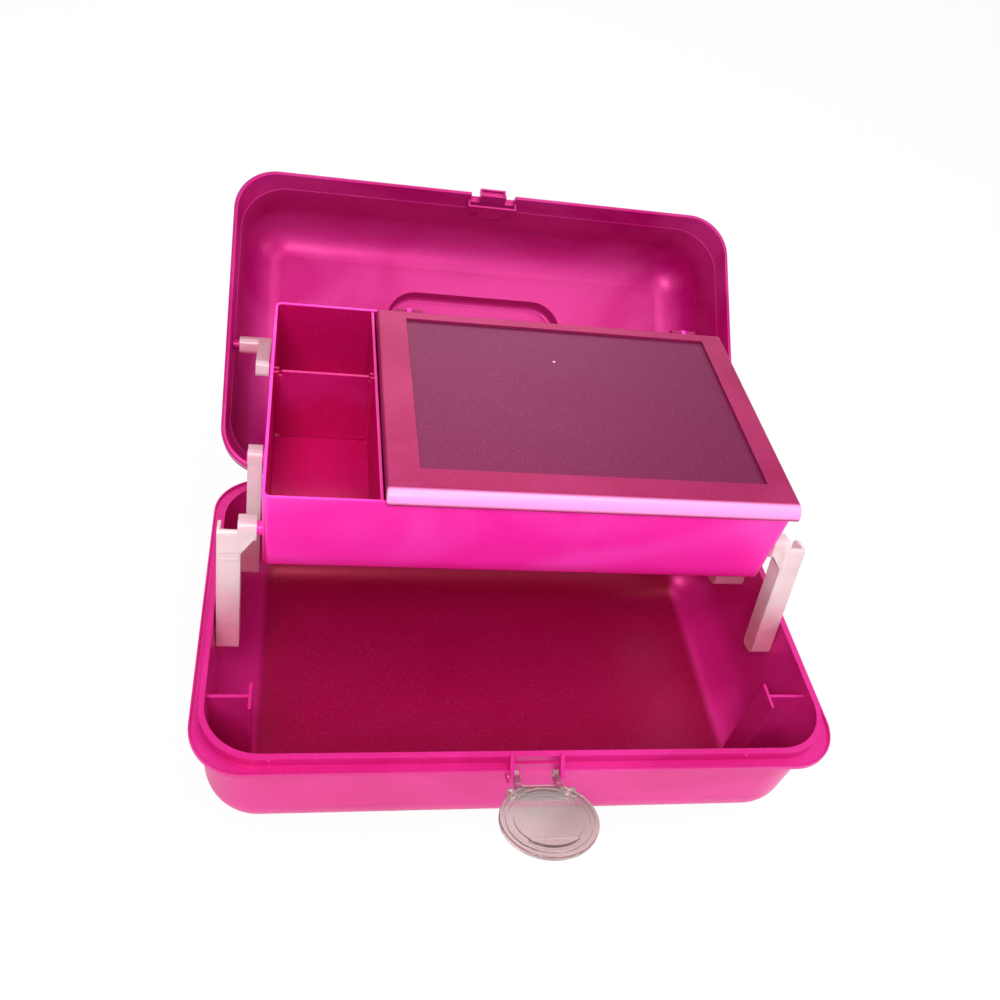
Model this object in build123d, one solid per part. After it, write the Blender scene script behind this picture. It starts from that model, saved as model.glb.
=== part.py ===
"""Storage case with a handle, built open: every piece is written to its own STEP file.

Millimetres, X to the case's right, Y to the rear, Z up, origin at the middle of the underside.
The lid and the pieces on it are built shut and then swung open about the hinge line.
"""

import os
from math import atan2, cos, degrees, hypot, radians, sin, tan

from build123d import *

# ---- driving dimensions: base and lid ----
CASE_W = 320.0  # outside length of base and lid
CASE_D = 187.0  # outside depth of base and lid
LIP_R = 26.0  # corner radius of the outer lips
RIM = 69.0  # height of the base's outer lip
BASE_WALL = 3.0
BASE_FLOOR = 3.6
BASE_EDGE = 26.0  # rounding between the base's walls and its underside
BASE_DRAFT = 2.5
LIP_T = 2.4  # thickness of the base's outer lip
RIDGE_H = 4.4  # the ridge on the base that enters the lid
LID_WALL = 1.45
LID_RISE = 2.16  # the lid's widest line stands this far above RIM when shut
LID_DEPTH = 59.0  # from that line to the inside of the lid's top
LID_EDGE = 24.6
LID_DRAFT = 1.5
SKIRT_H, SKIRT_T = 11.5, 2.3  # the wider band along the lid's edge
OPEN_DEG = 144.09  # how far the lid stands open
PIN_R = 1.5
RUN = 0.08  # radial clearance of a turning fit
HINGE_OUT, HINGE_UP = 1.5, 2.94  # hinge line, behind the lip and above RIM

# ---- driving dimensions: tray, arms and links ----
TRAY_H = 49.0
TRAY_LIFT = 81.0  # from RIM to the raised tray's rim
TRAY_WALL = 1.5
TRAY_SHUT_Y = 3.0  # middle of the tray with the lid shut
TRAY_SHIFT = 74.55  # how far the tray comes forward as the lid shuts
ARM_SPAN = (15.5, 60.5)  # from an arm's foot to its head: to the rear and up
ARM_R = 5.5  # half thickness of an arm
ARM_WALL = 1.6
ARM_W, HEAD_W = 11.3, 7.3  # width of a front arm, and of the pieces beside the tray
PEG_R = 3.5
PEG_DROP = 10.5  # from RIM down to the pegs on the base
LINK_TRAY = (129.28, 55.0)  # link's tray end: from the tray's front, and above RIM
LINK_S, LINK_DIP = 80.0, 10.0  # its lid end: along the lid from the hinge, and into it
LINK_R, LINK_PEG_R = 4.6, 3.0

# ---- driving dimensions: flip lid, handle and latch ----
FLIP_H, FLIP_WALL, FLIP_ROLL = 7.0, 1.5, 6.4
PLATEAU = (62.2, 48.2, 22.0)  # raised middle of the lid's top: half sizes and corner radius
PLATEAU_H, PLATEAU_WALL = 10.0, 1.6
BAIL_W, BAIL_T, GRIP_W, BAIL_WALL = 8.4, 9.0, 15.0, 2.1
PIVOT_R = 2.5  # the handle's pins
CATCH_HALF = 8.2  # half width of the lid's catch
LINK_ARM_W, EAR_T, LUG_T = 2.4, 2.0, 2.3
SIDE_GAP = 0.3  # between latch pieces that turn beside each other
PADDLE = (22.8, 19.5)  # half width and half height of the oval
PADDLE_DROP = 15.5  # from the pin to the oval's middle
PADDLE_OUT = 5.1  # from the pin to the front of the oval's rim
PADDLE_T = 2.2
PADDLE_TILT = 99.0  # how far the hanging paddle has swung forward and up

HALF_W, HALF_D = CASE_W / 2, CASE_D / 2
HINGE_Y, HINGE_Z = HALF_D + HINGE_OUT, RIM + HINGE_UP


# ---- helpers ----
def slab(hx, hy, r, z0, z1):
    """A rounded rectangle of half sizes hx and hy, from z0 up to z1."""
    return Pos(0, 0, z0) * extrude(RectangleRounded(2 * hx, 2 * hy, r), amount=z1 - z0)


def ring(outer, inner, z0, z1):
    """The band between two rounded rectangles."""
    return slab(*outer, z0, z1) - slab(*inner, z0 - 1, z1 + 1)


def bowl(hx, hy, r, depth, draft, edge):
    """A drafted block with its mouth on z=0 and its rounded end at z=depth."""
    body = extrude(RectangleRounded(2 * hx, 2 * hy, r), amount=depth, taper=draft)
    return fillet(body.faces().sort_by(Axis.Z)[-1].edges(), edge)


def upside_down(shape, z):
    """Turn a bowl over, so that its mouth faces up at height z."""
    return Pos(0, 0, z) * Rot(180, 0, 0) * shape


def box(x, y, z):
    """A box from three (low, high) pairs."""
    size = [b - a for a, b in (x, y, z)]
    mid = [(a + b) / 2 for a, b in (x, y, z)]
    return Pos(*mid) * Box(*size)


def rod(y, z, r, x0, x1):
    """A cylinder along X."""
    return Pos((x0 + x1) / 2, y, z) * Rot(0, 90, 0) * Cylinder(r, x1 - x0)


def peg(y, z, r, x0, x1, tip):
    """A cylinder along X whose end is chamfered: tip is 0 for the end at x0, -1 for x1."""
    body = rod(y, z, r, x0, x1)
    return chamfer(body.edges().group_by(Axis.X)[tip], 0.6)


def bar(a, b, r, x0, x1):
    """A round-ended bar between the points a and b of the side view, from x0 to x1."""
    mid = Vector(x0, (a[0] + b[0]) / 2, (a[1] + b[1]) / 2)
    side = Plane(origin=mid, x_dir=(0, 1, 0), z_dir=(1, 0, 0))
    length = hypot(b[0] - a[0], b[1] - a[1])
    angle = degrees(atan2(b[1] - a[1], b[0] - a[0]))
    return extrude(side * SlotCenterToCenter(length, 2 * r, rotation=angle), amount=x1 - x0)


def plate(points, x0, x1):
    """A flat plate with the given outline in the side view, from x0 to x1."""
    side = Plane(origin=(x0, 0, 0), x_dir=(0, 1, 0), z_dir=(1, 0, 0))
    return extrude(side * make_face(Polyline(*points, close=True)), amount=x1 - x0)


def wedge(points, half):
    """A flat plate with the given outline in the front view, half of it each side of y=0."""
    return extrude(Plane.XZ * make_face(Polyline(*points, close=True)), amount=half, both=True)


def block(x, y, z, r):
    """A box whose four edges along X are rounded."""
    return fillet(box(x, y, z).edges().filter_by(Axis.X), r)


def other_side(shape):
    return mirror(shape, about=Plane.YZ)


def swing(shape, angle, y=HINGE_Y, z=HINGE_Z):
    """Turn a shape about a line along X."""
    return shape.rotate(Axis((0, y, z), (1, 0, 0)), angle)


def opened(shape):
    return swing(shape, -OPEN_DEG)


def swung_point(y, z, angle):
    """Where the point (y, z) of the side view lands after a turn about the hinge."""
    dy, dz = y - HINGE_Y, z - HINGE_Z
    c, s = cos(radians(angle)), sin(radians(angle))
    return (HINGE_Y + dy * c - dz * s, HINGE_Z + dy * s + dz * c)


def stand(shape, start, end):
    """Lay a piece built along Z from the origin so that it runs from start towards end."""
    lean = degrees(atan2(end[0] - start[0], end[1] - start[1]))
    return Pos(0, *start) * Rot(-lean, 0, 0) * shape


def solid(shape):
    """The one solid of a result, whatever it is wrapped in."""
    found = shape.solids()
    assert len(found) == 1, len(found)
    return found[0]


# ---- what the tray, the arms and the base take from each other ----
TUB = (HALF_W - 3.5, HALF_D - 5.0, LIP_R + 3.5)  # outside of the wall under the lip
CAVITY = tuple(size - BASE_WALL for size in TUB)
RIDGE = (HALF_W - 3.8, HALF_D - 5.1, LIP_R + 2.5)  # outside of the ridge
WALL_IN = CAVITY[0] - PEG_DROP * tan(radians(BASE_DRAFT))  # inside of the end wall at the pegs
LANE_GAP, TRAY_GAP = 0.45, 1.9
OUTER_LANE = (WALL_IN - LANE_GAP - ARM_W, WALL_IN - LANE_GAP)  # |x| beside the base's wall
INNER_LANE = (OUTER_LANE[0] - HEAD_W, OUTER_LANE[0])  # |x| beside the tray
TRAY_W, TRAY_D = 2 * (INNER_LANE[0] - TRAY_GAP), CASE_D - 30.1
TRAY_TOP = RIM + TRAY_LIFT
TRAY_Y = TRAY_SHUT_Y + TRAY_SHIFT
TRAY_FRONT, TRAY_REAR = TRAY_Y - TRAY_D / 2, TRAY_Y + TRAY_D / 2
ARM_PLACES = {"front": TRAY_FRONT + 9.9, "rear": TRAY_FRONT + 59.9}
ARM_FEET = {name: (y - ARM_SPAN[0], RIM - PEG_DROP) for name, y in ARM_PLACES.items()}
ARM_HEADS = {name: (y, RIM - PEG_DROP + ARM_SPAN[1]) for name, y in ARM_PLACES.items()}
LINK_TRAY_END = (TRAY_FRONT + LINK_TRAY[0], RIM + LINK_TRAY[1])

# latch, at the middle of the front: its pieces stand beside each other from the middle out
LATCH_A = (-HALF_D - 0.1, RIM - 4.0)  # link on the base's ears
LATCH_B = (-HALF_D - 12.55, RIM - 0.52)  # paddle on the link
ARM_X = (CATCH_HALF + SIDE_GAP, CATCH_HALF + SIDE_GAP + LINK_ARM_W)
EAR_X = (ARM_X[1] + SIDE_GAP, ARM_X[1] + SIDE_GAP + EAR_T)
LUG_X = (EAR_X[1] + SIDE_GAP, EAR_X[1] + SIDE_GAP + LUG_T)
SLOT_X = (CATCH_HALF, EAR_X[1] + 1.2)  # slots in the lid for the ears and the link's arms

# ---- base ----
tub_block = upside_down(bowl(*TUB, RIM - LIP_T, BASE_DRAFT, BASE_EDGE), RIM - LIP_T)
tub_room = upside_down(bowl(*CAVITY, RIM - BASE_FLOOR, BASE_DRAFT, BASE_EDGE - BASE_WALL), RIM)
tub = tub_block + slab(HALF_W, HALF_D, LIP_R, RIM - LIP_T, RIM)
tub += slab(*RIDGE, RIM - LIP_T, RIM + RIDGE_H)
tub -= ring((HALF_W - 0.9, HALF_D - 0.9, LIP_R - 0.9), RIDGE, RIM - 1.2, RIM + 1)
tub -= tub_room + slab(*CAVITY, RIM - 0.01, RIM + RIDGE_H + 1)

# a wide, shallow panel sunk in the front wall, with a smile-shaped lower edge
SMILE_X, SMILE_TOP, SMILE_END, SMILE_LOW = HALF_W - 24, 5.0, 12.0, RIM - 26
smile = make_face(
    Polyline(
        (-SMILE_X, -SMILE_END), (-SMILE_X, -SMILE_TOP), (SMILE_X, -SMILE_TOP), (SMILE_X, -SMILE_END)
    )
    + ThreePointArc((-SMILE_X, -SMILE_END), (0, -SMILE_LOW), (SMILE_X, -SMILE_END))
)
front_plane = Plane(origin=(0, -TUB[1], RIM - LIP_T), x_dir=(1, 0, 0), z_dir=(0, -1, 0))
front_plane = front_plane.rotated((-BASE_DRAFT, 0, 0))
tub -= front_plane.offset(-0.6) * Pos(0, LIP_T, 0) * extrude(smile, amount=4)

# T-shaped ribs near the front corners hold the folded arms up
RIB_Y, RIB_T, RIB_FLANGE = ARM_FEET["front"][0] - 45.0, 1.6, 7.2
rib_z = (1, RIM - 1.6)
rib = box((INNER_LANE[0] - 0.6, TUB[0] - 0.5), (RIB_Y - RIB_T / 2, RIB_Y + RIB_T / 2), rib_z)
rib += box(
    (INNER_LANE[0] - 1.4, INNER_LANE[0] + 0.2), (RIB_Y - RIB_FLANGE, RIB_Y + RIB_FLANGE), rib_z
)
rib = rib & (tub_block + slab(*CAVITY, RIM - LIP_T - 1, RIM))
tub += rib + other_side(rib)

BASE_PEG_END = OUTER_LANE[0] + 1.7  # the pegs stop short of the arms' inner faces
for y, z in ARM_FEET.values():
    base_peg = peg(y, z, PEG_R, BASE_PEG_END, WALL_IN + BASE_WALL / 2, 0)
    tub += base_peg + other_side(base_peg)

# small feet moulded under the round lower edge
FOOT_X, FOOT_Y = HALF_W - 64.0, HALF_D - 31.5
for x in (-FOOT_X, FOOT_X):
    for y in (-FOOT_Y, FOOT_Y):
        tub += box((x - 14, x + 14), (y - 11, y + 11), (0, 4)) - tub_room

# ears, and a gap in the lip, for the latch
ear = plate(
    [
        (-HALF_D + 6.5, RIM + 5.4),
        (-HALF_D + 4.1, RIM + 5.4),
        (-HALF_D - 3.1, RIM - 1.4),
        (-HALF_D - 3.1, RIM - 6.8),
        (-HALF_D + 0.3, RIM - 9.6),
        (-HALF_D + 6.5, RIM - 11.0),
    ],
    *EAR_X,
)
ear -= rod(*LATCH_A, PIN_R + RUN, EAR_X[0] - 1, EAR_X[1] + 1)
gap_x = ARM_X[1] + SIDE_GAP
tub -= box((-gap_x, gap_x), (-HALF_D - 1.5, -RIDGE[1] - 0.8), (RIM - 5, RIM + 1))
tub += (ear + other_side(ear)) - slab(*CAVITY, RIM - 20, RIM + 9)

# nubs on the ridge that the lid snaps over
for x in (-HALF_W + 36.8, HALF_W - 53.5):
    tub += Pos(x, -RIDGE[1] + 0.4, RIM + 2.9) * Sphere(1.1)

# hinge: two knuckles of the base round each of the lid's
KNUCKLE_R = 4.2
KNUCKLE_ROOM = KNUCKLE_R + 0.6
KNUCKLE_HALF, HINGE_HALF = 8.0, 20.0
END_GAP = 0.4  # between neighbouring knuckles
HINGE_X = HALF_W - 65.0  # middle of each hinge
for x in (-HINGE_X, HINGE_X):
    own = KNUCKLE_HALF + END_GAP
    tub -= rod(HINGE_Y, HINGE_Z, KNUCKLE_ROOM, x - own, x + own)
    for a, b in ((-HINGE_HALF, -own), (own, HINGE_HALF)):
        knuckle = rod(HINGE_Y, HINGE_Z, KNUCKLE_R, x + a, x + b)
        knuckle += box((x + a, x + b), (HALF_D - 1.9, HINGE_Y + 3.0), (RIM - LIP_T, HINGE_Z))
        tub += knuckle - rod(HINGE_Y, HINGE_Z, PIN_R, x - 30, x + 30)

hinge_pin = rod(HINGE_Y, HINGE_Z, PIN_R, HINGE_X - HINGE_HALF, HINGE_X + HINGE_HALF)

# ---- lid, built shut ----
BOTTOM = RIM + 0.26  # lower face of the lid's rim
LINE = RIM + LID_RISE
SKIRT = LINE + SKIRT_H
LID = (HALF_W - 3.0, HALF_D - 4.3, LIP_R + 3.5)
LID_ROOM = tuple(size - LID_WALL for size in LID)
LID_TOP = LINE + LID_DEPTH + LID_WALL
HANDLE_Z = LID_TOP + 5.2
BOSS_R = 4.0

skirt = slab(HALF_W, HALF_D, LIP_R, BOTTOM, SKIRT)
skirt = fillet(skirt.edges().group_by(Axis.Z)[0], 1.7)
skirt = fillet(skirt.edges().group_by(Axis.Z)[-1], 1.2)
lid = skirt + Pos(0, 0, SKIRT - 2) * bowl(*LID, LID_TOP - SKIRT + 2, LID_DRAFT, LID_EDGE)


def plateau(half_x, half_y, r, top):
    """The raised middle of the lid's top, round which the handle folds."""
    body = extrude(RectangleRounded(2 * half_x, 2 * half_y, r), amount=PLATEAU_H + 4, taper=3)
    body = fillet(body.faces().sort_by(Axis.Z)[-1].edges(), 3.0)
    return Pos(0, 0, top - PLATEAU_H - 4) * body


lid += plateau(*PLATEAU, LID_TOP + PLATEAU_H)
boss = rod(0, HANDLE_Z, BOSS_R, PLATEAU[0] - 4.7, PLATEAU[0] - 0.4)
lid += boss + other_side(boss)

# inside, the edge band narrows gently to the wall above it
mouth = [size - SKIRT_T for size in (HALF_W, HALF_D, LIP_R)]
throat = [size + 0.3 for size in LID_ROOM]
mouth_top = SKIRT - LID_WALL
lid -= loft(
    [
        Pos(0, 0, z) * RectangleRounded(2 * hx, 2 * hy, r)
        for z, (hx, hy, r) in ((BOTTOM - 1, mouth), (mouth_top, throat))
    ]
)
room_low = mouth_top - 1.5
room_depth = LINE + LID_DEPTH - room_low
lid -= Pos(0, 0, room_low) * bowl(*LID_ROOM, room_depth, LID_DRAFT, LID_EDGE - LID_WALL)
plateau_room = [size - PLATEAU_WALL for size in PLATEAU]
lid -= plateau(*plateau_room, LID_TOP + PLATEAU_H - PLATEAU_WALL) - boss - other_side(boss)
lid -= rod(0, HANDLE_Z, PIVOT_R, -PLATEAU[0] - 3, PLATEAU[0] + 3)

LINK_LID = (HINGE_Y - LINK_S, LINE + LINK_DIP)
LINK_PEG_END = OUTER_LANE[0] + 3.0
lid_peg = peg(*LINK_LID, LINK_PEG_R, LINK_PEG_END, HALF_W - 1.6, 0)
lid += lid_peg + other_side(lid_peg)

# catch: a hollow nose between two slots that let the latch's ears and arms in
CATCH_Z = (LINE + 0.3, LINE + 3.3)
CATCH_OUT = HALF_D + 3.6
CATCH_WALL = 1.0
slot = box(SLOT_X, (-CATCH_OUT, -HALF_D + 4.9), (RIM - 1, LINE + 4.5))
lid -= slot + other_side(slot)
lid += box((-CATCH_HALF, CATCH_HALF), (-CATCH_OUT, -HALF_D + SKIRT_T), CATCH_Z)
lid -= box(
    (CATCH_WALL - CATCH_HALF, CATCH_HALF - CATCH_WALL),
    (CATCH_WALL - CATCH_OUT, -HALF_D + SKIRT_T - 0.6),
    (RIM - 1, CATCH_Z[1] - CATCH_WALL),
)

# inside the lid, a shallow box and a half-round boss close in the slots from behind
HOOD_X, HOOD_WALL = SLOT_X[1] + 1.3, 1.2
hood_y = (-HALF_D + 3.0, -HALF_D + 8.3)
hood_z = (RIM + RIDGE_H + 0.5, LINE + 10.0)
hood = box((-HOOD_X, HOOD_X), hood_y, hood_z)
hood -= box(
    (HOOD_WALL - HOOD_X, HOOD_X - HOOD_WALL),
    (hood_y[0] - 1, hood_y[1] - HOOD_WALL),
    (hood_z[0] - 1, hood_z[1] - HOOD_WALL),
)
bulge = Pos(0, (hood_y[0] + hood_y[1]) / 2, hood_z[1] - 0.4) * Rot(90, 0, 0)
bulge = bulge * Cylinder(8.6, hood_y[1] - hood_y[0])
hood += bulge & box((-HOOD_X, HOOD_X), hood_y, (hood_z[1] - 0.4, SKIRT + 9))
lid += hood

for x in (-HINGE_X, HINGE_X):
    for a, b in ((-HINGE_HALF - END_GAP, -KNUCKLE_HALF), (KNUCKLE_HALF, HINGE_HALF + END_GAP)):
        lid -= rod(HINGE_Y, HINGE_Z, KNUCKLE_ROOM, x + a, x + b)
    own = (x - KNUCKLE_HALF, x + KNUCKLE_HALF)
    lid += rod(HINGE_Y, HINGE_Z, KNUCKLE_R, *own)
    lid += box(own, (HALF_D - 1.5, HINGE_Y + 3.0), (HINGE_Z, HINGE_Z + 4.6))
    lid -= rod(HINGE_Y, HINGE_Z, PIN_R + RUN, x - 30, x + 30)

# ---- handle, built folded to the front of the shut lid ----
REACH = PLATEAU[1] + 2.3 + GRIP_W / 2  # from its pivots to the middle of the grip
BAIL_X = (PLATEAU[0] + 1.6, PLATEAU[0] + 1.6 + BAIL_W)
grip = Pos(0, -REACH, HANDLE_Z - BAIL_T / 2) * extrude(
    RectangleRounded(2 * BAIL_X[1], GRIP_W, 7.0), amount=BAIL_T
)
grip = fillet(grip.edges().group_by(Axis.Z)[0] + grip.edges().group_by(Axis.Z)[-1], 2.5)
bail_arm = bar((0, HANDLE_Z), (-REACH, HANDLE_Z), BAIL_T / 2, *BAIL_X)
handle = grip + bail_arm + other_side(bail_arm)
hollow_x = (BAIL_X[0] + BAIL_WALL, BAIL_X[1] - BAIL_WALL)
hollow_y = (-REACH - GRIP_W / 2 + BAIL_WALL, -REACH + GRIP_W / 2 - BAIL_WALL)
hollow_z = (HANDLE_Z - BAIL_T, HANDLE_Z + BAIL_T / 2 - BAIL_WALL)
hollow_arm = box(hollow_x, (hollow_y[0], -BAIL_T), hollow_z)
hollow = box((-hollow_x[1], hollow_x[1]), hollow_y, hollow_z) + hollow_arm
handle -= hollow + other_side(hollow_arm)
handle -= rod(0, HANDLE_Z, PIVOT_R + RUN, -BAIL_X[1] - 5, BAIL_X[1] + 5)
handle = swing(handle, -(270 - OPEN_DEG), 0, HANDLE_Z)  # hangs straight down once the lid is open

handle_pin = rod(0, HANDLE_Z, PIVOT_R, PLATEAU[0] - 4.2, BAIL_X[1] + 0.8)
handle_pin += rod(0, HANDLE_Z, BOSS_R, BAIL_X[1] + 0.4, BAIL_X[1] + 1.8)

# ---- tray, raised ----
TRAY_FLOOR = TRAY_TOP - TRAY_H
TRAY_R, TRAY_EDGE, TRAY_DRAFT = 4.0, 2.4, 1.5
TRAY_ROUND = TRAY_R - TRAY_WALL  # inside roundings
PARTITION_X = -TRAY_W / 2 + 55.1
DIVIDER_Y = TRAY_FRONT + 96.4
DIVIDER_T = 1.6
DIVIDER_TOP = TRAY_TOP - 2.0
GUIDE_T, GUIDE_GAP = 1.2, 0.3
in_x, in_y = TRAY_W / 2 - TRAY_WALL, TRAY_D / 2 - TRAY_WALL
floor_x = in_x - TRAY_H * tan(radians(TRAY_DRAFT))  # half width of the tray's room at its floor

tray_block = bowl(TRAY_W / 2, TRAY_D / 2, TRAY_R, TRAY_H, TRAY_DRAFT, TRAY_EDGE)
tray_room = bowl(in_x, in_y, TRAY_ROUND, TRAY_H - TRAY_WALL, TRAY_DRAFT, TRAY_EDGE - TRAY_WALL)
tray = upside_down(tray_block - tray_room, TRAY_TOP)
wall = box(
    (PARTITION_X - TRAY_WALL / 2, PARTITION_X + TRAY_WALL / 2),
    (-in_y - TRAY_WALL / 2, in_y + TRAY_WALL / 2),
    (TRAY_FLOOR + TRAY_WALL / 2, TRAY_TOP - 0.6),
)
tray += wall & upside_down(tray_block, TRAY_TOP)
tray = Pos(0, TRAY_Y, 0) * tray

divider_x = (-floor_x + 0.5, PARTITION_X - TRAY_WALL / 2 - GUIDE_GAP)
guide_z = (TRAY_FLOOR + TRAY_WALL / 2, TRAY_TOP - 1.5)
for y in (
    DIVIDER_Y - DIVIDER_T / 2 - GUIDE_GAP - GUIDE_T,
    DIVIDER_Y + DIVIDER_T / 2 + GUIDE_GAP,
):
    guide = box((-in_x - 0.4, divider_x[0] + 1.0), (y, y + GUIDE_T), (guide_z[0] + 4, guide_z[1]))
    guide += box((divider_x[1] - 2.0, PARTITION_X), (y, y + GUIDE_T), guide_z)
    tray += guide & Pos(0, TRAY_Y, 0) * upside_down(tray_block, TRAY_TOP)
divider = box(
    divider_x,
    (DIVIDER_Y - DIVIDER_T / 2, DIVIDER_Y + DIVIDER_T / 2),
    (TRAY_FLOOR + TRAY_WALL + 0.2, DIVIDER_TOP),
)
divider = fillet(divider.edges().filter_by(Axis.Y).group_by(Axis.Z)[0], 5.0)
for x in divider_x:
    divider -= box(
        (x - 2.6, x + 2.6), (DIVIDER_Y - 5, DIVIDER_Y + 5), (DIVIDER_TOP - 3.0, DIVIDER_TOP + 1)
    )

# pegs for the arms, stubs for the links, and ears for the flip lid
for y, z in ARM_HEADS.values():
    tray_peg = peg(y, z, PEG_R, TRAY_W / 2 - TRAY_WALL, INNER_LANE[1] + 0.6, -1)
    tray += tray_peg + other_side(tray_peg)
stub = rod(*LINK_TRAY_END, LINK_PEG_R, TRAY_W / 2 - TRAY_WALL, INNER_LANE[0] - 0.4)
tray += stub + other_side(stub)

FLIP_LOW, FLIP_TOP = TRAY_TOP + 0.5, TRAY_TOP + 0.5 + FLIP_H
FLIP_X = (PARTITION_X + 1.5, INNER_LANE[0] - 0.35)
FLIP_Y = (TRAY_FRONT - 2.6, TRAY_REAR - 10.0)
FLIP_AXIS = (TRAY_REAR - 5.5, TRAY_TOP + 2.8)
BARREL_R, FLIP_EAR_R, FLIP_EAR_T = 2.6, 3.0, 3.0
FLIP_EARS = [(x, x + FLIP_EAR_T) for x in (FLIP_X[0] + 17.5, FLIP_X[1] - 23.1)]
for a, b in FLIP_EARS:
    flip_ear = rod(*FLIP_AXIS, FLIP_EAR_R, a, b)
    flip_ear += box(
        (a, b), (FLIP_AXIS[0] - FLIP_EAR_R, TRAY_REAR - 1.0), (TRAY_TOP - 8, FLIP_AXIS[1])
    )
    tray += flip_ear - rod(*FLIP_AXIS, PIN_R, a - 1, b + 1)

# ---- flip lid over the tray's right compartment ----
PANEL_SINK = 1.4
PANEL_X = (FLIP_X[0] + 16.3, FLIP_X[1] - 13.6)
PANEL_Y = (FLIP_Y[0] + 19.0, FLIP_Y[1] - 7.0)
side_view = Plane(origin=(FLIP_X[0], 0, 0), x_dir=(0, 1, 0), z_dir=(1, 0, 0))
front, rear, low, top = FLIP_Y[0], FLIP_Y[1], FLIP_LOW, FLIP_TOP
slope = FLIP_ROLL * (1 - cos(radians(45)))
profile = Polyline((front, top - FLIP_ROLL), (front, low), (rear, low), (rear, top - 1.2))
profile += ThreePointArc((rear, top - 1.2), (rear - 0.35, top - 0.35), (rear - 1.2, top))
profile += Line((rear - 1.2, top), (front + FLIP_ROLL, top))
profile += ThreePointArc(
    (front + FLIP_ROLL, top), (front + slope, top - slope), (front, top - FLIP_ROLL)
)
flip = extrude(side_view * make_face(profile), amount=FLIP_X[1] - FLIP_X[0])
ends = flip.faces().filter_by(Axis.X).edges()
flip = fillet([edge for edge in ends if edge.center().Z > low + 0.1], 1.2)
flip -= box(
    (FLIP_X[0] + FLIP_WALL, FLIP_X[1] - FLIP_WALL),
    (front + 2 * FLIP_WALL, rear - FLIP_WALL),
    (low - 1, top - PANEL_SINK - FLIP_WALL),
)
flip -= box(PANEL_X, PANEL_Y, (top - PANEL_SINK, top + 1))
EAR_ROOM = 6.0  # length of barrel either side of an ear
flip_pins = []
for a, b in FLIP_EARS:
    for c, d in ((a - EAR_ROOM, a - END_GAP), (b + END_GAP, b + EAR_ROOM)):
        barrel = rod(*FLIP_AXIS, BARREL_R, c, d)
        barrel += box((c, d), (rear - 1.4, FLIP_AXIS[0]), (FLIP_AXIS[1] - 1.2, FLIP_AXIS[1] + 2.0))
        flip += barrel - rod(*FLIP_AXIS, PIN_R + RUN, c - 1, d + 1)
    flip_pins.append(rod(*FLIP_AXIS, PIN_R, a - EAR_ROOM, b + EAR_ROOM))

# ---- lifting arms and lid links (right side) ----
FOOT_END, CORNER = 8.0, 3.0  # an arm runs on past its foot pivot, and its corners are rounded
STRIPE_AT, STRIPE_GAP = 10.5, 4.0  # two fine ridges across a front arm, below its head


def cored(x, half, z0, z1, core):
    """A bar along Z, hollowed from behind between the two heights in core."""
    body = block(x, (-half, half), (z0, z1), CORNER)
    inside = (x[0] + ARM_WALL, x[1] - ARM_WALL)
    return body - box(inside, (-half + ARM_WALL, half + 1), core)


def arm(which):
    """A lifting arm: the long bar in one lane, and a short boss that steps to the other."""
    length = hypot(*ARM_SPAN)
    thick = (-ARM_R, ARM_R)
    a, b, c = INNER_LANE[0], OUTER_LANE[0], OUTER_LANE[1]
    if which == "front":
        top = length + 1.5
        body = cored(OUTER_LANE, ARM_R, -FOOT_END, top, (FOOT_END, top + 1))
        body += block((a, b + ARM_WALL), thick, (length - ARM_R, length + ARM_R), CORNER)
        low = length - ARM_R
        body += wedge([(a + 0.4, low + CORNER), (b + 0.5, low + CORNER), (b + 0.5, low - 7)], ARM_R)
        for z in (length - STRIPE_AT, length - STRIPE_AT - STRIPE_GAP):
            body += box((b + 0.8, c - 0.8), (-ARM_R - 0.45, -ARM_R + 1), (z - 0.9, z))
    else:
        top = length + ARM_R
        body = cored(INNER_LANE, ARM_R, -FOOT_END, top, (FOOT_END, length - ARM_R - 1))
        body += block((b - ARM_WALL, c), thick, (-FOOT_END, ARM_R), CORNER)
        body += wedge([(c - 3, ARM_R - CORNER), (b - 0.5, ARM_R - CORNER), (b - 0.5, ARM_R + 7)], ARM_R)
    body -= rod(0, 0, PEG_R + RUN, BASE_PEG_END - 0.4, c + 1)
    body -= rod(0, length, PEG_R + RUN, a - 1, b + ARM_WALL + 1)
    return stand(body, ARM_FEET[which], ARM_HEADS[which])


def lid_link():
    """The link from the tray to the lid, built where it stands with the lid open."""
    far = swung_point(*LINK_LID, -OPEN_DEG)
    length = hypot(far[0] - LINK_TRAY_END[0], far[1] - LINK_TRAY_END[1])
    core = (LINK_R + 1, length - LINK_R - 1)
    body = cored(INNER_LANE, LINK_R, -LINK_R, length + LINK_R, core)
    thick, end = (-LINK_R, LINK_R), (length - LINK_R, length + LINK_R)
    body += block((INNER_LANE[1] - ARM_WALL, OUTER_LANE[1]), thick, end, CORNER)
    body -= rod(0, 0, LINK_PEG_R + RUN, INNER_LANE[0] - 1, INNER_LANE[1] - ARM_WALL)
    body -= rod(0, length, LINK_PEG_R + RUN, LINK_PEG_END - 0.4, OUTER_LANE[1] + 1)
    return stand(body, LINK_TRAY_END, far)


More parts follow.
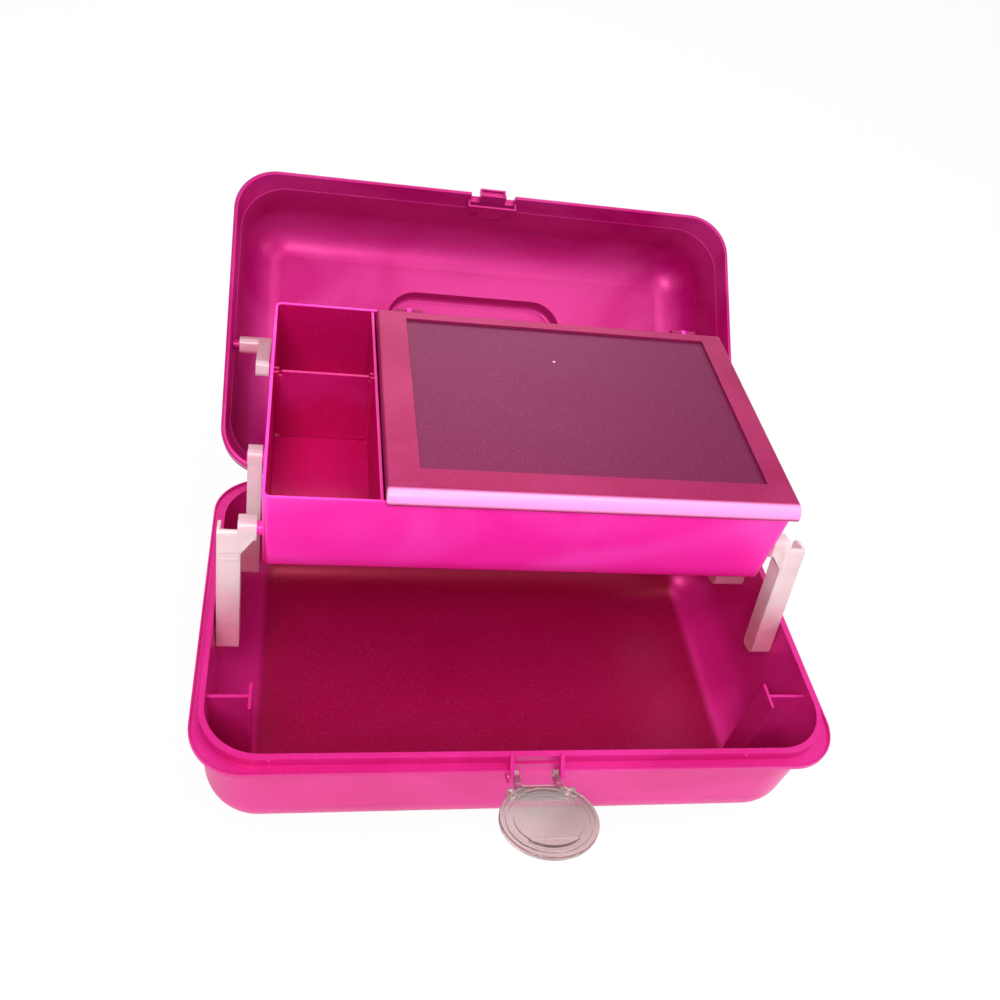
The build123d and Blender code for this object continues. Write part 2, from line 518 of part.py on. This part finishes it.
# ---- latch ----
LATCH_SPAN = hypot(LATCH_B[0] - LATCH_A[0], LATCH_B[1] - LATCH_A[1])
latch_link = bar(LATCH_A, LATCH_B, 2.1, *ARM_X) + rod(*LATCH_A, 2.5, *ARM_X)
latch_link += other_side(latch_link)
web = box((-ARM_X[1], ARM_X[1]), (-2.7, -1.5), (LATCH_SPAN * 0.36, LATCH_SPAN))
latch_link += stand(web, LATCH_A, LATCH_B)
for x in (-1, 1):
    latch_link += rod(*LATCH_A, PIN_R, *sorted((x * (ARM_X[1] - 0.5), x * EAR_X[1])))
latch_link += rod(*LATCH_B, 2.6, -ARM_X[1], ARM_X[1])
latch_link -= rod(*LATCH_B, PIN_R, -20, 20)
latch_pin = rod(*LATCH_B, PIN_R, -LUG_X[1] - 0.2, LUG_X[1] + 0.2)


def on_paddle(shape, low, high):
    """A raised or sunk form of the hanging paddle: heights are counted from its pin."""
    return Pos(0, 0, low) * extrude(shape, amount=high - low)


def oval(inset):
    return Pos(0, -PADDLE_DROP) * Ellipse(PADDLE[0] - inset, PADDLE[1] - inset)


paddle = on_paddle(oval(0), PADDLE_OUT - PADDLE_T, PADDLE_OUT)
paddle = fillet(paddle.edges().group_by(Axis.Z)[-1], 0.6)
paddle -= on_paddle(oval(1.7), PADDLE_OUT - 0.8, PADDLE_OUT + 1)
paddle += on_paddle(oval(2.7) - oval(4.0), PADDLE_OUT - 1.0, PADDLE_OUT - 0.2)
paddle += on_paddle(oval(6.6), PADDLE_OUT - 1.0, PADDLE_OUT - 0.3)
crescent = make_face(
    ThreePointArc((-11.5, -26.0), (0, -29.6), (11.5, -26.0)) + Line((11.5, -26.0), (-11.5, -26.0))
)
paddle += on_paddle(crescent, PADDLE_OUT - 1.0, PADDLE_OUT + 1.0)
paddle -= box((-30, 30), (1.2, 30), (-20, 20))  # the oval is cut off straight along its pin
paddle = Rot(90, 0, 0) * paddle  # now hanging: its front faces -Y, its pin at the origin
for x in (-1, 1):
    lug = bar((0, 0), (-PADDLE_OUT + PADDLE_T, -1.0), 2.8, *sorted((x * LUG_X[0], x * LUG_X[1])))
    paddle += lug - box((-30, 30), (-20, -PADDLE_OUT + 0.9), (-20, 20))
paddle -= rod(0, 0, PIN_R + RUN, -20, 20)
paddle = Pos(0, *LATCH_B) * Rot(-PADDLE_TILT, 0, 0) * paddle

# ---- the pieces, by name ----
front_arm, rear_arm, link = arm("front"), arm("rear"), lid_link()
PIECES = {
    "base_tub": tub,
    "hinge_pin_r": hinge_pin,
    "hinge_pin_l": other_side(hinge_pin),
    "lid_shell": opened(lid),
    "handle": opened(handle),
    "handle_pin_r": opened(handle_pin),
    "handle_pin_l": opened(other_side(handle_pin)),
    "tray": tray,
    "tray_divider": divider,
    "flip_lid": flip,
    "flip_pin_l": flip_pins[0],
    "flip_pin_r": flip_pins[1],
    "front_arm_r": front_arm,
    "front_arm_l": other_side(front_arm),
    "rear_arm_r": rear_arm,
    "rear_arm_l": other_side(rear_arm),
    "lid_link_r": link,
    "lid_link_l": other_side(link),
    "latch_link": latch_link,
    "latch_pin": latch_pin,
    "latch_paddle": paddle,
}

os.makedirs("parts", exist_ok=True)
for name, shape in PIECES.items():
    export_step(solid(shape), f"parts/{name}.step")
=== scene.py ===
"""Looks of the open storage case: finishes for its moulded pieces, gate marks, light and camera.

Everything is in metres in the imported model's frame: X to the case's right, Y to the rear, Z up.
"""

import logging
from dataclasses import dataclass, field
from enum import Enum
from math import cos, pi, sin
from typing import Union

import bmesh
import bpy
from mathutils import Matrix, Vector

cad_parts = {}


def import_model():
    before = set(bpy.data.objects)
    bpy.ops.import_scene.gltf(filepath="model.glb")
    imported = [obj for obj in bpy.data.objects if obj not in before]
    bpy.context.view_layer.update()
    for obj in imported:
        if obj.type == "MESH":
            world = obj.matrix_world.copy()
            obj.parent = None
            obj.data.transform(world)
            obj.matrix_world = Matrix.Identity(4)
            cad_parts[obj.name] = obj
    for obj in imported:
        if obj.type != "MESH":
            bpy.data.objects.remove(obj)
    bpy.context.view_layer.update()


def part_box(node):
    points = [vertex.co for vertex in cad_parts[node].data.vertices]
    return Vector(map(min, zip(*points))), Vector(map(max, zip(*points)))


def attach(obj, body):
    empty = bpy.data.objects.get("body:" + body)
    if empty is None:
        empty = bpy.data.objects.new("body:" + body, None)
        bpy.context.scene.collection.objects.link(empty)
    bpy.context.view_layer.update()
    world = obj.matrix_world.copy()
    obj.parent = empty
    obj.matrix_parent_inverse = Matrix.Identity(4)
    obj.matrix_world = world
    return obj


log = logging.getLogger("scene")
MM = 0.001
FLECK_SHARE, FLECK_WEIGHT = 0.05, 0.045  # how many cells of the pearl are pale, and how pale
SIDES = "lr"
Triple = tuple[float, float, float]
Number = Union["Value", float]


# ---- node graphs ----
class Value:
    """A node output that takes part in sums, so that shader maths reads as arithmetic."""

    def __init__(self, graph: "Graph", socket: bpy.types.NodeSocket) -> None:
        """Wrap an output.

        Args:
            graph: the graph that owns the node.
            socket: the output socket.
        """
        self.graph = graph
        self.socket = socket

    def _math(self, operation: str, first: Number, second: Number) -> "Value":
        """One Math node on two numbers or links."""
        node = self.graph.add("ShaderNodeMath", {"operation": operation}, {0: first, 1: second})
        return Value(self.graph, node.outputs[0])

    def __add__(self, other: Number) -> "Value":
        """The sum."""
        return self._math("ADD", self, other)

    def __radd__(self, other: float) -> "Value":
        """The sum, reflected."""
        return self._math("ADD", other, self)

    def __sub__(self, other: Number) -> "Value":
        """The difference."""
        return self._math("SUBTRACT", self, other)

    def __rsub__(self, other: float) -> "Value":
        """The difference, reflected."""
        return self._math("SUBTRACT", other, self)

    def __mul__(self, other: Number) -> "Value":
        """The product."""
        return self._math("MULTIPLY", self, other)

    def __rmul__(self, other: float) -> "Value":
        """The product, reflected."""
        return self._math("MULTIPLY", other, self)

    def ramp(self, low: float, high: float) -> "Value":
        """A smooth climb from 0 at low to 1 at high, clamped.

        Args:
            low: where the climb starts.
            high: where it ends.
        Returns:
            the climb.
        """
        settings = {"interpolation_type": "SMOOTHSTEP"}
        limits = {"Value": self, "From Min": low, "From Max": high}
        node = self.graph.add("ShaderNodeMapRange", settings, limits)
        return Value(self.graph, node.outputs["Result"])


class Graph:
    """One material's node tree with a Principled shader at its end."""

    def __init__(self, name: str) -> None:
        """Make the material.

        Args:
            name: the material's name.
        """
        self.material = bpy.data.materials.new(name)
        self.material.use_nodes = True
        self.tree = self.material.node_tree
        self.tree.nodes.clear()
        self.output = self.add("ShaderNodeOutputMaterial")
        self.shader = self.add("ShaderNodeBsdfPrincipled")
        self.tree.links.new(self.shader.outputs[0], self.output.inputs["Surface"])
        self.spot = Value(self, self.add("ShaderNodeTexCoord").outputs["Object"])

    def add(
        self, kind: str, settings: dict | None = None, inputs: dict | None = None
    ) -> bpy.types.Node:
        """Add a node.

        Args:
            kind: the node's type.
            settings: attributes, which are set first.
            inputs: a number, colour or Value for each socket, by name or place.
        Returns:
            the new node.
        """
        made = self.tree.nodes.new(kind)
        for name, value in (settings or {}).items():
            setattr(made, name, value)
        for key, value in (inputs or {}).items():
            self.feed(made.inputs[key], value)
        return made

    def feed(self, socket: bpy.types.NodeSocket, value: object) -> None:
        """Link a Value to an input, or set a constant on it."""
        if isinstance(value, Value):
            self.tree.links.new(value.socket, socket)
        else:
            socket.default_value = value

    def shade(self, **inputs: object) -> None:
        """Set or link the shader's own sockets, with _ for a blank in their names."""
        for name, value in inputs.items():
            self.feed(self.shader.inputs[name.replace("_", " ")], value)

    def noise(
        self, scale: float, detail: float = 2.0, swirl: float = 0.0, axes: Triple = (1, 1, 1)
    ) -> Value:
        """Noise in object space.

        Args:
            scale: cells per metre.
            detail: octaves.
            swirl: how far the pattern is distorted.
            axes: scale along each axis.
        Returns:
            the noise, around 0.5.
        """
        place = self.add("ShaderNodeMapping", {}, {"Vector": self.spot, "Scale": axes})
        inputs = {"Vector": Value(self, place.outputs[0]), "Scale": scale}
        inputs |= {"Detail": detail, "Distortion": swirl}
        return Value(self, self.add("ShaderNodeTexNoise", {}, inputs).outputs["Fac"])

    def flecks(self, scale: float, share: float) -> Value:
        """Small cells of which a share is 1 and the rest 0.

        Args:
            scale: cells per metre.
            share: how many of them are 1.
        Returns:
            the flecks.
        """
        cells = self.add("ShaderNodeTexVoronoi", {}, {"Vector": self.spot, "Scale": scale})
        parts = self.add("ShaderNodeSeparateColor", {}, {0: Value(self, cells.outputs["Color"])})
        return Value(self, parts.outputs[0]).ramp(1 - share, 1.01 - share)

    def within(self, low: Triple, high: Triple, soft: float) -> Value:
        """1 inside a box in the model's frame and 0 outside it.

        Args:
            low: the box's lowest corner.
            high: its highest corner.
            soft: half width of the change between the two.
        Returns:
            the mask.
        """
        parts = self.add("ShaderNodeSeparateXYZ", {}, {0: self.spot})
        mask: Number = 1.0
        for axis in range(3):
            along = Value(self, parts.outputs[axis])
            inside = along.ramp(low[axis] - soft, low[axis] + soft)
            inside = inside * (1 - along.ramp(high[axis] - soft, high[axis] + soft))
            mask = inside * mask
        return mask

    def height(self, low: float, high: float) -> Value:
        """0 at the height low and 1 at the height high."""
        parts = self.add("ShaderNodeSeparateXYZ", {}, {0: self.spot})
        return Value(self, parts.outputs[2]).ramp(low, high)

    def tint(self, share: Number, first: object, second: object) -> Value:
        """Blend two colours.

        Args:
            share: how much of the second.
            first: a colour or a Value.
            second: a colour or a Value.
        Returns:
            the blend.
        """
        colours = [c if isinstance(c, Value) else (*c, 1.0) for c in (first, second)]
        inputs = {"Factor": share, 6: colours[0], 7: colours[1]}
        return Value(self, self.add("ShaderNodeMix", {"data_type": "RGBA"}, inputs).outputs[2])

    def bump(self, height: Value, distance: float, strength: float, rounding: float) -> None:
        """Raise the surface by a Value, over softly rounded edges.

        Args:
            height: the relief.
            distance: its full height in metres.
            strength: how much of it shows.
            rounding: radius of the shaded edge rounding in metres.
        """
        bevel = self.add("ShaderNodeBevel", {"samples": 4}, {"Radius": rounding})
        inputs = {"Strength": strength, "Distance": distance, "Height": height}
        inputs["Normal"] = Value(self, bevel.outputs[0])
        self.shade(Normal=Value(self, self.add("ShaderNodeBump", {}, inputs).outputs[0]))


# ---- finishes ----
class Tone(Enum):
    """The colours of the mouldings, linear, with painted shade and a painted highlight among them.
    """

    BASE = (0.57, 0.009, 0.19)
    BASE_SHEEN = (0.64, 0.02, 0.25)
    # painted shade for the tub's inside
    BASE_PAINTED_SHADE = (0.29, 0.0003, 0.036)
    LID = (0.43, 0.001, 0.145)
    LID_SHEEN = (0.5, 0.02, 0.2)
    TRAY = (0.96, 0.02, 0.4)
    TRAY_SHEEN = (0.98, 0.05, 0.5)
    # painted shade for the tray's inside and its divider
    TRAY_PAINTED_SHADE = (0.5, 0.002, 0.105)
    FRAME = (0.29, 0.009, 0.076)
    FRAME_SHEEN = (0.34, 0.018, 0.1)
    # painted highlight on the flip lid's front roll
    ROLL_PAINTED_HIGHLIGHT = (0.96, 0.3, 0.66)
    PANEL = (0.15, 0.008, 0.055)
    FROST = (0.95, 0.78, 0.8)
    FROST_ROSE = (0.95, 0.33, 0.5)
    CLEAR = (0.56, 0.45, 0.44)
    CLEAR_EDGE = (0.3, 0.29, 0.29)
    AMBER = (0.82, 0.74, 0.42)
    STEEL = (0.62, 0.62, 0.64)
    STEEL_DARK = (0.42, 0.42, 0.44)
    PALE = (0.85, 0.6, 0.7)


class Pattern(Enum):
    """How fine the pearl plastic's surface is."""

    SATIN = 900.0
    GRAINED = 2200.0


@dataclass(frozen=True)
class Room:
    """A box within which a moulding shows a second tone.

    Attributes:
        low: lowest corner.
        high: highest corner.
        tone: the colour inside.
        soft: half width of the change.
    """

    low: Triple
    high: Triple
    tone: Tone
    soft: float = 0.2 * MM


@dataclass(frozen=True)
class Pearl:
    """A pearly moulded plastic.

    Attributes:
        tone: the pigment.
        sheen: the pigment where the flakes lie flat.
        roughness: mean roughness.
        metallic: share of pearl flakes.
        coat: weight of the gloss over the pigment.
        specular: strength of the plain gloss.
        pattern: how fine the surface grain is.
        rooms: places with another tone.
    """

    tone: Tone
    sheen: Tone
    roughness: float = 0.36
    metallic: float = 0.3
    coat: float = 0.05
    specular: float = 0.2
    pattern: Pattern = Pattern.SATIN
    rooms: tuple[Room, ...] = ()

    def build(self, name: str) -> bpy.types.Material:
        """Make the material.

        Args:
            name: the material's name.
        Returns:
            the new material.
        """
        g = Graph(name)
        flow = g.noise(7.0, 3.0, 1.4, (1.0, 1.7, 1.7))
        scuff = g.noise(55.0, 6.0, 0.3, (1.0, 9.0, 3.0)).ramp(0.62, 0.72)
        colour = g.tint(flow.ramp(0.35, 0.65), self.tone.value, self.sheen.value)
        for room in self.rooms:
            colour = g.tint(g.within(room.low, room.high, room.soft), colour, room.tone.value)
        colour = g.tint(g.flecks(2400.0, FLECK_SHARE) * FLECK_WEIGHT, colour, Tone.PALE.value)
        g.shade(Base_Color=colour, Roughness=flow * 0.08 + (self.roughness - 0.04) + scuff * 0.07)
        g.shade(Metallic=self.metallic, Coat_Weight=self.coat, Coat_Roughness=0.2, IOR=1.46)
        g.shade(Specular_IOR_Level=self.specular)
        peel = g.noise(self.pattern.value, 2.0) + g.noise(140.0, 1.0) * 0.6
        g.bump(peel, 0.03 * MM, 0.5, 0.4 * MM)
        return g.material


@dataclass(frozen=True)
class Frost:
    """A milky plastic that passes some light, whiter at its top.

    Attributes:
        low: height where it is rosiest.
        high: height where it is whitest.
    """

    low: float
    high: float

    def build(self, name: str) -> bpy.types.Material:
        """Make the material.

        Args:
            name: the material's name.
        Returns:
            the new material.
        """
        g = Graph(name)
        cloud = g.noise(70.0, 3.0, 0.8)
        share = (g.height(self.low, self.high) + cloud * 0.5 - 0.25).ramp(0.0, 1.0)
        g.shade(Base_Color=g.tint(share, Tone.FROST_ROSE.value, Tone.FROST.value))
        g.shade(Roughness=cloud * 0.1 + 0.26, Transmission_Weight=0.5, IOR=1.46)
        g.shade(Coat_Weight=0.25, Coat_Roughness=0.2)
        g.bump(g.noise(600.0, 2.0), 0.04 * MM, 0.5, 0.4 * MM)
        return g.material


@dataclass(frozen=True)
class Clear:
    """A glass-clear plastic with greyer edges.

    Attributes:
        body: its colour seen straight on.
        edge: its colour where it turns away.
        roughness: mean roughness.
    """

    body: Tone = Tone.CLEAR
    edge: Tone = Tone.CLEAR_EDGE
    roughness: float = 0.07

    def build(self, name: str) -> bpy.types.Material:
        """Make the material.

        Args:
            name: the material's name.
        Returns:
            the new material.
        """
        g = Graph(name)
        rim = Value(g, g.add("ShaderNodeLayerWeight", {}, {"Blend": 0.35}).outputs["Facing"])
        haze = g.noise(90.0, 3.0, 0.6)
        g.shade(Base_Color=g.tint(rim.ramp(0.3, 1.0), self.body.value, self.edge.value))
        g.shade(Roughness=haze * 0.06 + (self.roughness - 0.02), Transmission_Weight=0.9, IOR=1.49)
        g.bump(g.noise(260.0, 2.0), 0.05 * MM, 0.4, 0.3 * MM)
        return g.material


@dataclass(frozen=True)
class Steel:
    """Drawn wire with fine lines along X."""

    def build(self, name: str) -> bpy.types.Material:
        """Make the material.

        Args:
            name: the material's name.
        Returns:
            the new material.
        """
        g = Graph(name)
        lines = g.noise(120.0, 4.0, 0.0, (0.2, 20.0, 20.0))
        g.shade(Base_Color=g.tint(lines, Tone.STEEL_DARK.value, Tone.STEEL.value))
        g.shade(Roughness=lines * 0.2 + 0.22, Metallic=1.0)
        g.bump(lines, 0.02 * MM, 0.4, 0.2 * MM)
        return g.material


Finish = Union[Pearl, Frost, Clear, Steel]


# ---- sub-assemblies ----
def dress(node: str, finish: Finish) -> None:
    """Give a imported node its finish.

    Args:
        node: the node's name.
        finish: the finish.
    """
    material = finish.build(f"{node}_finish")
    for slot in bpy.data.objects[node].material_slots:
        slot.material = material
    log.info("%s: %s", node, type(finish).__name__)


def dome(name: str, at: Triple, radius: float, rise: float, finish: Finish) -> bpy.types.Object:
    """A low round dome that faces up.

    Args:
        name: the piece's name.
        at: the middle of its foot.
        radius: radius of its foot.
        rise: its height.
        finish: its finish.
    Returns:
        the new object.
    """
    rings, sides = 4, 20
    bm = bmesh.new()
    top = bm.verts.new((at[0], at[1], at[2] + rise))
    levels = []
    for level in range(1, rings + 1):
        angle = level / rings * pi / 2
        reach, z = radius * sin(angle), at[2] + rise * cos(angle)
        level_ring = []
        for turn in (step * 2 * pi / sides for step in range(sides)):
            spot = (at[0] + reach * cos(turn), at[1] + reach * sin(turn), z)
            level_ring.append(bm.verts.new(spot))
        levels.append(level_ring)
    for step in range(sides):
        after = (step + 1) % sides
        bm.faces.new((top, levels[0][step], levels[0][after]))
        for inner, outer in zip(levels, levels[1:]):
            bm.faces.new((inner[step], outer[step], outer[after], inner[after]))
    bm.faces.new(list(reversed(levels[-1])))
    mesh = bpy.data.meshes.new(name)
    bm.to_mesh(mesh)
    bm.free()
    for face in mesh.polygons:
        face.use_smooth = True
    mesh.materials.append(finish.build(f"{name}_finish"))
    made = bpy.data.objects.new(name, mesh)
    bpy.context.scene.collection.objects.link(made)
    return made


@dataclass
class Base:
    """The tub with its hinge pins.

    Attributes:
        wall: from the lip's outer end to where the painted shade of the inside starts.
        sunk: from the ridge's top down to where it starts.
        deep: half its depth.
        floor: from the underside up to its lower end.
    """

    wall: float = 29.0 * MM
    sunk: float = 9.0 * MM
    deep: float = 80.0 * MM
    floor: float = 2.0 * MM

    def build(self) -> None:
        """Dress the tub and the pins."""
        low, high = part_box("base_tub")
        half, deep = high[0] - self.wall, self.deep
        # A darker tone over the tub's inside: painted shade.
        room_low = (-half, -deep, low[2] + self.floor)
        room_high = (half, deep, high[2] - self.sunk)
        room = Room(room_low, room_high, Tone.BASE_PAINTED_SHADE, 3 * MM)
        dress("base_tub", Pearl(Tone.BASE, Tone.BASE_SHEEN, rooms=(room,)))
        for side in SIDES:
            dress(f"hinge_pin_{side}", Steel())


@dataclass
class Lid:
    """The lid with its handle and the handle's pins."""

    shell: Pearl = Pearl(Tone.LID, Tone.LID_SHEEN, roughness=0.4, metallic=0.28)
    grip: Pearl = Pearl(Tone.BASE, Tone.BASE_SHEEN, roughness=0.32)

    def build(self) -> None:
        """Dress the lid, the handle and the pins."""
        dress("lid_shell", self.shell)
        dress("handle", self.grip)
        for side in SIDES:
            dress(f"handle_pin_{side}", Steel())


@dataclass
class Tray:
    """The raised tray with its divider.

    Attributes:
        wall: thickness of its walls.
        below: from its rim down to where the painted shade of the inside starts.
        rim_above_floor: the tray's height, without the ears of its flip lid.
    """

    wall: float = 1.5 * MM
    below: float = 0.6 * MM
    rim_above_floor: float = 49.0 * MM

    def build(self) -> None:
        """Dress the tray and the divider."""
        low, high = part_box("tray")
        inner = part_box("tray_divider")
        half = -inner[0][0] + 2.2 * self.wall
        rim = low[2] + self.rim_above_floor
        # A darker tone over the tray's inside below the rim: painted shade.
        room_low = (-half + self.wall, low[1] + 0.8 * self.wall, low[2] + 0.5 * self.wall)
        room_high = (half - self.wall, high[1] - 0.8 * self.wall, rim - self.below)
        room = Room(room_low, room_high, Tone.TRAY_PAINTED_SHADE, 0.2 * MM)
        dress("tray", Pearl(Tone.TRAY, Tone.TRAY_SHEEN, 0.34, 0.2, rooms=(room,)))
        # The divider inside the tray takes the same darker tone: painted shade.
        dress("tray_divider", Pearl(Tone.TRAY_PAINTED_SHADE, Tone.BASE, roughness=0.34))


@dataclass
class FlipLid:
    """The flip lid with its pins and the moulding's gate mark.

    Attributes:
        sink: depth of the middle panel.
        roll: how far the painted highlight on the front edge reaches back.
        gate: radius and height of the gate mark.
        gate_at: its place on the panel, as shares of the lid's length and depth.
    """

    sink: float = 1.4 * MM
    roll: float = 5.0 * MM
    gate: tuple[float, float] = (0.8 * MM, 0.35 * MM)
    gate_at: tuple[float, float] = (0.47, 0.72)

    def build(self) -> None:
        """Dress the lid and the pins, and make the gate mark."""
        low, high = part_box("flip_lid")
        panel = high[2] - self.sink
        edge, thin = 2 * MM, 0.2 * MM
        room_low = (low[0] + edge, low[1] + edge, panel - thin)
        room_high = (high[0] - edge, high[1] - edge, panel + thin)
        room = Room(room_low, room_high, Tone.PANEL, 0.1 * MM)
        # A lighter tone along the front roll: a painted highlight.
        roll_highlight_low = (low[0] - edge, low[1] - edge, low[2] + 1.5 * MM)
        roll_highlight_high = (high[0] + edge, low[1] + self.roll, high[2] + edge)
        rooms = (room, Room(roll_highlight_low, roll_highlight_high, Tone.ROLL_PAINTED_HIGHLIGHT, 1.2 * MM))
        shell = Pearl(Tone.FRAME, Tone.FRAME_SHEEN, 0.38, 0.3, 0.0, 0.16, Pattern.GRAINED, rooms)
        dress("flip_lid", shell)
        for side in SIDES:
            dress(f"flip_pin_{side}", Pearl(Tone.BASE, Tone.BASE_SHEEN))
        x, y = (low[axis] + (high[axis] - low[axis]) * self.gate_at[axis] for axis in range(2))
        foot = (x, y, panel - 0.05 * MM)
        mark = dome("flip_lid_gate_mark", foot, *self.gate, Pearl(Tone.PALE, Tone.PALE))
        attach(mark, "flip_lid")
        log.info("flip_lid_gate_mark")


@dataclass
class Levers:
    """The four lifting arms and the two lid links."""

    arms: tuple[str, ...] = ("front_arm", "rear_arm", "lid_link")

    def build(self) -> None:
        """Dress every arm and link."""
        for arm in self.arms:
            for side in SIDES:
                low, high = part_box(f"{arm}_{side}")
                dress(f"{arm}_{side}", Frost(low[2], low[2] + 0.75 * (high[2] - low[2])))


@dataclass
class Latch:
    """The clear link and paddle on their amber pin."""

    clear: Clear = Clear()
    pin: Clear = Clear(Tone.AMBER, Tone.AMBER, 0.12)

    def build(self) -> None:
        """Dress the link, the paddle and the pin."""
        dress("latch_link", self.clear)
        dress("latch_paddle", self.clear)
        dress("latch_pin", self.pin)


# ---- studio ----
@dataclass(frozen=True)
class Lamp:
    """A soft round lamp.

    Attributes:
        name: its name.
        at: its place.
        size: its diameter.
        energy: its power in watts.
        aim: the point it faces.
    """

    name: str
    at: Triple
    size: float
    energy: float
    aim: Triple = (0.0, 0.05, 0.1)

    def build(self) -> None:
        """Add the lamp."""
        data = bpy.data.lights.new(self.name, "AREA")
        data.shape, data.size, data.energy = "DISK", self.size, self.energy
        made = bpy.data.objects.new(self.name, data)
        made.location = self.at
        towards = Vector(self.aim) - Vector(self.at)
        made.rotation_euler = towards.to_track_quat("-Z", "Y").to_euler()
        bpy.context.scene.collection.objects.link(made)


@dataclass
class Studio:
    """Camera, lamps, floor and world.

    Attributes:
        eye: the camera's place.
        right: the camera's axis to the right.
        up: the camera's axis up.
        back: the camera's axis away from the case.
        lens: focal length in millimetres on the sensor.
        sensor: width of the sensor in millimetres.
        shift: the lens shift, right and up.
        fill: strength of the world on surfaces.
        floor_glow: how much of the floor's white is its own.
        lamps: the lamps.
    """

    eye: Triple = (-0.1198, -0.31346, 0.46574)
    right: Triple = (0.97924, -0.11113, 0.16952)
    up: Triple = (-0.0455, 0.6945, 0.7181)
    back: Triple = (-0.19752, -0.71090, 0.67498)
    lens: float = 34.42
    sensor: float = 36.0
    shift: tuple[float, float] = (0.0175, -0.0230)
    fill: float = 0.55
    floor_glow: float = 0.94
    lamps: list[Lamp] = field(
        default_factory=lambda: [
            Lamp("key", (-0.35, -0.75, 1.1), 0.6, 13.0),
            Lamp("side", (0.95, -0.35, 0.75), 0.7, 3.0),
            Lamp("rear", (0.15, 1.1, 0.9), 0.8, 4.0),
            Lamp("top", (0.25, -0.1, 1.15), 0.45, 2.6),
        ]
    )

    def camera(self) -> None:
        """Make the camera of the photograph."""
        data = bpy.data.cameras.new("camera")
        data.lens, data.sensor_width = self.lens, self.sensor
        data.shift_x, data.shift_y = self.shift
        data.clip_start, data.clip_end = 0.01, 20.0
        made = bpy.data.objects.new("camera", data)
        axes = Matrix([Vector(self.right), Vector(self.up), Vector(self.back)])
        made.matrix_world = Matrix.Translation(self.eye) @ axes.transposed().to_4x4()
        bpy.context.scene.collection.objects.link(made)
        bpy.context.scene.camera = made

    def world(self) -> None:
        """A white backdrop for the eye and for reflections, and softer light for the surfaces."""
        made = bpy.data.worlds.new("studio")
        made.use_nodes = True
        tree = made.node_tree
        tree.nodes.clear()
        ways = tree.nodes.new("ShaderNodeLightPath")
        total = ways.outputs["Is Camera Ray"]
        for name in ("Is Glossy Ray", "Is Transmission Ray"):
            larger = tree.nodes.new("ShaderNodeMath")
            larger.operation = "MAXIMUM"
            tree.links.new(total, larger.inputs[0])
            tree.links.new(ways.outputs[name], larger.inputs[1])
            total = larger.outputs[0]
        mix = tree.nodes.new("ShaderNodeMixShader")
        tree.links.new(total, mix.inputs[0])
        for place, strength in ((1, self.fill), (2, 1.0)):
            ground = tree.nodes.new("ShaderNodeBackground")
            ground.inputs["Color"].default_value = (1.0, 1.0, 1.0, 1.0)
            ground.inputs["Strength"].default_value = strength
            tree.links.new(ground.outputs[0], mix.inputs[place])
        end = tree.nodes.new("ShaderNodeOutputWorld")
        tree.links.new(mix.outputs[0], end.inputs[0])
        bpy.context.scene.world = made

    def floor(self) -> None:
        """A pale floor that keeps the case's shadow."""
        mesh = bpy.data.meshes.new("floor")
        bm = bmesh.new()
        bmesh.ops.create_grid(bm, x_segments=8, y_segments=8, size=6.0)
        bm.to_mesh(mesh)
        bm.free()
        floor = bpy.data.objects.new("floor", mesh)
        bpy.context.scene.collection.objects.link(floor)
        g = Graph("floor")
        g.shade(Base_Color=(0.93, 0.93, 0.93, 1.0), Roughness=0.9)
        ways = g.add("ShaderNodeLightPath")
        glow = g.add("ShaderNodeEmission", {}, {"Color": (1.0, 1.0, 1.0, 1.0)})
        share = Value(g, ways.outputs["Is Camera Ray"]) * self.floor_glow
        inputs = {0: share, 1: Value(g, g.shader.outputs[0]), 2: Value(g, glow.outputs[0])}
        mix = g.add("ShaderNodeMixShader", {}, inputs)
        g.feed(g.output.inputs["Surface"], Value(g, mix.outputs[0]))
        mesh.materials.append(g.material)

    def build(self) -> None:
        """Set the whole studio."""
        self.camera()
        for lamp in self.lamps:
            lamp.build()
        self.world()
        self.floor()
        bpy.context.scene.view_settings.view_transform = "Standard"


def main() -> None:
    """Load the frame, dress its sub-assemblies and set the studio."""
    logging.basicConfig(level=logging.INFO)
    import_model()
    for part in (Base(), Lid(), Tray(), FlipLid(), Levers(), Latch(), Studio()):
        part.build()


if __name__ == "__main__":
    main()
